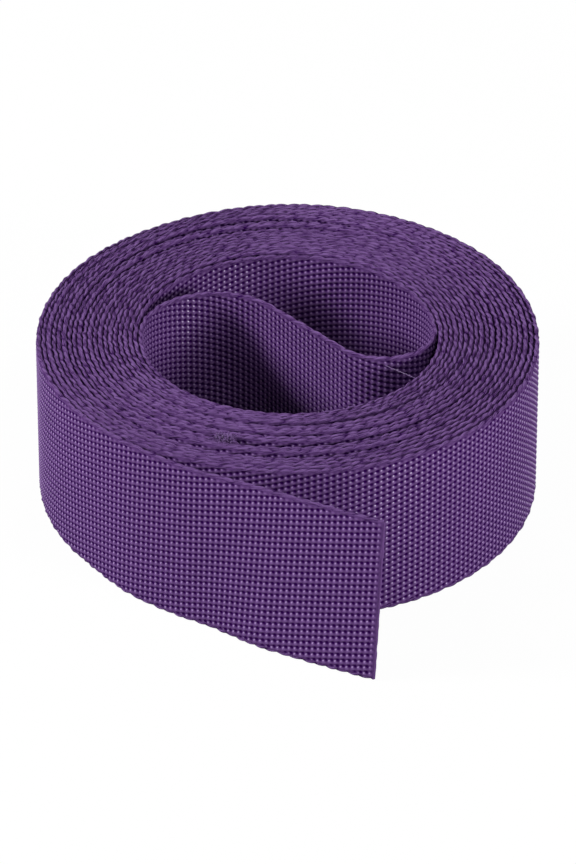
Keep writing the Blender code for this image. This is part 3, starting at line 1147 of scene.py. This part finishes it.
share = np.linspace(0.0, 1.0, LOOSE_POINTS)[:, None]
loose_points = (1 - share) ** 2 * LOOSE_ROOT + 2 * share * (1 - share) * LOOSE_MIDDLE + share**2 * LOOSE_TIP
loose_line = line_object("loose_fibre", loose_points)
edge_pieces.append(piece("loose_fibre", run_tree(loose_line, loose_fibre_tree(), LOOSE)))

# %% [markdown]
# ## The tail's two pieces
#
# The tail moves on two hinges, so it is cut in the middle of its root, between the hinges. Here the edges
# are joined to the faces, because they have to bend together.

# %% Make the tail
tail_middle = whole(tail_first + TAIL_ROOT_LENGTH / 2)


def tail_piece(name, first, last, others=()):
    meshes = [woven_mesh(name, first, last, "both")]
    meshes += [edge_mesh(name, first, last, side) for side in (1, -1)]
    return piece(name, joined_mesh(name, meshes + list(others)))


tail_near = tail_piece("tail_near_webbing", roll_end, tail_middle)
tail_far = tail_piece("tail_far_webbing", tail_middle, strap_length, [melted_end])
for section in profiles.values():
    bpy.data.objects.remove(section)

# %% [markdown]
# ## Bodies
#
# The pieces of the roll and of its edges ride on the roll's body and take the place of its solid, which is
# hidden, as are the tail's two solids. A hinge would tear cloth or fold it sharply. The tail's two pieces
# are
# not put on a body: their meshes stay where the frame's coordinates have them.


for made in [*roll_pieces.values(), *edge_pieces]:
    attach(made, "roll")
    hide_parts("wound_strap")
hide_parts("tail_root")
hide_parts("tail_root", "tail_tip")
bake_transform(tail_near)
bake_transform(tail_far)
print("pieces on the roll", len(roll_pieces) + len(edge_pieces), "and on the tail 2")

# %% [markdown]
# ## Sheets
#
# Each stretch is a sheet of cloth that was flat once. Its flat size is the strap's width and the distance
# between its two cuts, which the mesh can be measured against. Here the sheets are only counted.

# %% Number of sheets
print("sheets", len(roll_stretches) + 2)

# %% [markdown]
# ## The white floor
#
# The photograph was taken on white, with no more than a faint shadow. A plain white floor would turn grey
# where it gets less light. So for the rays that look at it or mirror it, it glows almost white, and for all
# others it is matt and throws back less light.

# %% The floor
FLOOR_SIZE = 6.0
FLOOR_GLOW = 0.97
FLOOR_GREY = (0.60, 0.60, 0.60, 1.0)


def background_rays(tree):
    """1 for the rays that look at the background or mirror it, and 0 for those that carry its light."""
    rays = tree.nodes.new("ShaderNodeLightPath")
    total = rays.outputs["Is Camera Ray"]
    for name in ("Is Glossy Ray", "Is Transmission Ray"):
        total = calc(tree, "MAXIMUM", total, rays.outputs[name])
    return total


def floor_material():
    material = bpy.data.materials.new("floor")
    material.use_nodes = True
    tree = material.node_tree
    tree.nodes.clear()
    matt = add(tree, "ShaderNodeBsdfDiffuse", {"Color": FLOOR_GREY})
    glow = add(tree, "ShaderNodeEmission", {"Strength": 1.0})
    share = calc(tree, "MULTIPLY", background_rays(tree), FLOOR_GLOW)
    mix = add(tree, "ShaderNodeMixShader", {"Fac": share})
    tree.links.new(matt.outputs[0], mix.inputs[1])
    tree.links.new(glow.outputs[0], mix.inputs[2])
    add(tree, "ShaderNodeOutputMaterial", {"Surface": mix.outputs[0]})
    return material


bpy.ops.mesh.primitive_plane_add(size=FLOOR_SIZE)
floor = bpy.context.active_object
floor.name = "floor"
floor.data.materials.append(floor_material())
print("floor", FLOOR_SIZE, "m wide")

# %% [markdown]
# ## Lamps
#
# In the photograph the roll is brightest at the left and right of its front, so two soft lamps stand at the
# sides. One from high in front lights the eye, and one behind lights the far edges. An even white world
# alone would make the weave look flat. Two small lamps sparkle on the floats.

# %% The lamps
# name, degrees from the front towards the right, degrees up, metres away, metres wide, watts
LAMPS = (
    ("left lamp", -84.0, 26.0, 1.4, 0.35, 31.0),
    ("right lamp", 55.0, 15.5, 1.4, 0.35, 21.5),
    ("front lamp", 45.0, 60.0, 1.5, 0.35, 8.0),
    ("back lamp", 170.0, 20.0, 1.5, 0.35, 10.0),
    ("left sparkle", -56.0, 30.0, 1.4, 0.2, 3.0),
    ("front sparkle", 15.0, 30.0, 1.5, 0.2, 1.5),
)


def lamp(name, azimuth, elevation, distance, size, watts):
    """A square soft lamp that faces the roll."""
    light = bpy.data.lights.new(name, "AREA")
    light.size = size
    light.energy = watts
    made = bpy.data.objects.new(name, light)
    bpy.context.scene.collection.objects.link(made)
    turn, raised = azimuth * DEGREE, elevation * DEGREE
    way = Vector((math.sin(turn) * math.cos(raised), -math.cos(turn) * math.cos(raised), math.sin(raised)))
    target = Vector((ROLL_AXIS[0], ROLL_AXIS[1], STRAP_WIDTH / 2))
    made.location = target + way * distance
    made.rotation_euler = way.to_track_quat("Z", "Y").to_euler()


for settings in LAMPS:
    lamp(*settings)
print("lamps", len(LAMPS))

# %% [markdown]
# ## World and camera
#
# The world is white to look at, but gives little light of its own, as the floor does. The camera was fitted
# to the rims of the roll in the photograph: a long lens that looks down by 33 degrees.

# %% World and camera
WORLD_LIGHT = 0.14
WHITE = (1.0, 1.0, 1.0, 1.0)
CAMERA_BACK = 1526.3 * MM
CAMERA_HEIGHT = 1010.5 * MM
CAMERA_DOWN = 33.08  # degrees
FOCAL_PIXELS = 6296.5
IMAGE_HEIGHT = 864  # pixels
SENSOR = 36.0  # millimetres

scene = bpy.context.scene
scene.world = scene.world or bpy.data.worlds.new("studio")
scene.world.use_nodes = True
sky = scene.world.node_tree
backdrop = sky.nodes["Background"]
plug(sky, backdrop.inputs["Color"], WHITE)
plug(sky, backdrop.inputs["Strength"], calc(sky, "MAXIMUM", background_rays(sky), WORLD_LIGHT))

camera_data = bpy.data.cameras.new("camera")
camera_data.sensor_width = SENSOR
camera_data.lens = FOCAL_PIXELS * SENSOR / IMAGE_HEIGHT
camera = bpy.data.objects.new("camera", camera_data)
camera.location = (ROLL_AXIS[0], ROLL_AXIS[1] - CAMERA_BACK, CAMERA_HEIGHT)
camera.rotation_euler = ((90.0 - CAMERA_DOWN) * DEGREE, 0.0, 0.0)
scene.collection.objects.link(camera)
scene.camera = camera
scene.view_settings.view_transform = "Standard"
print("camera lens", round(camera_data.lens, 2), "mm")
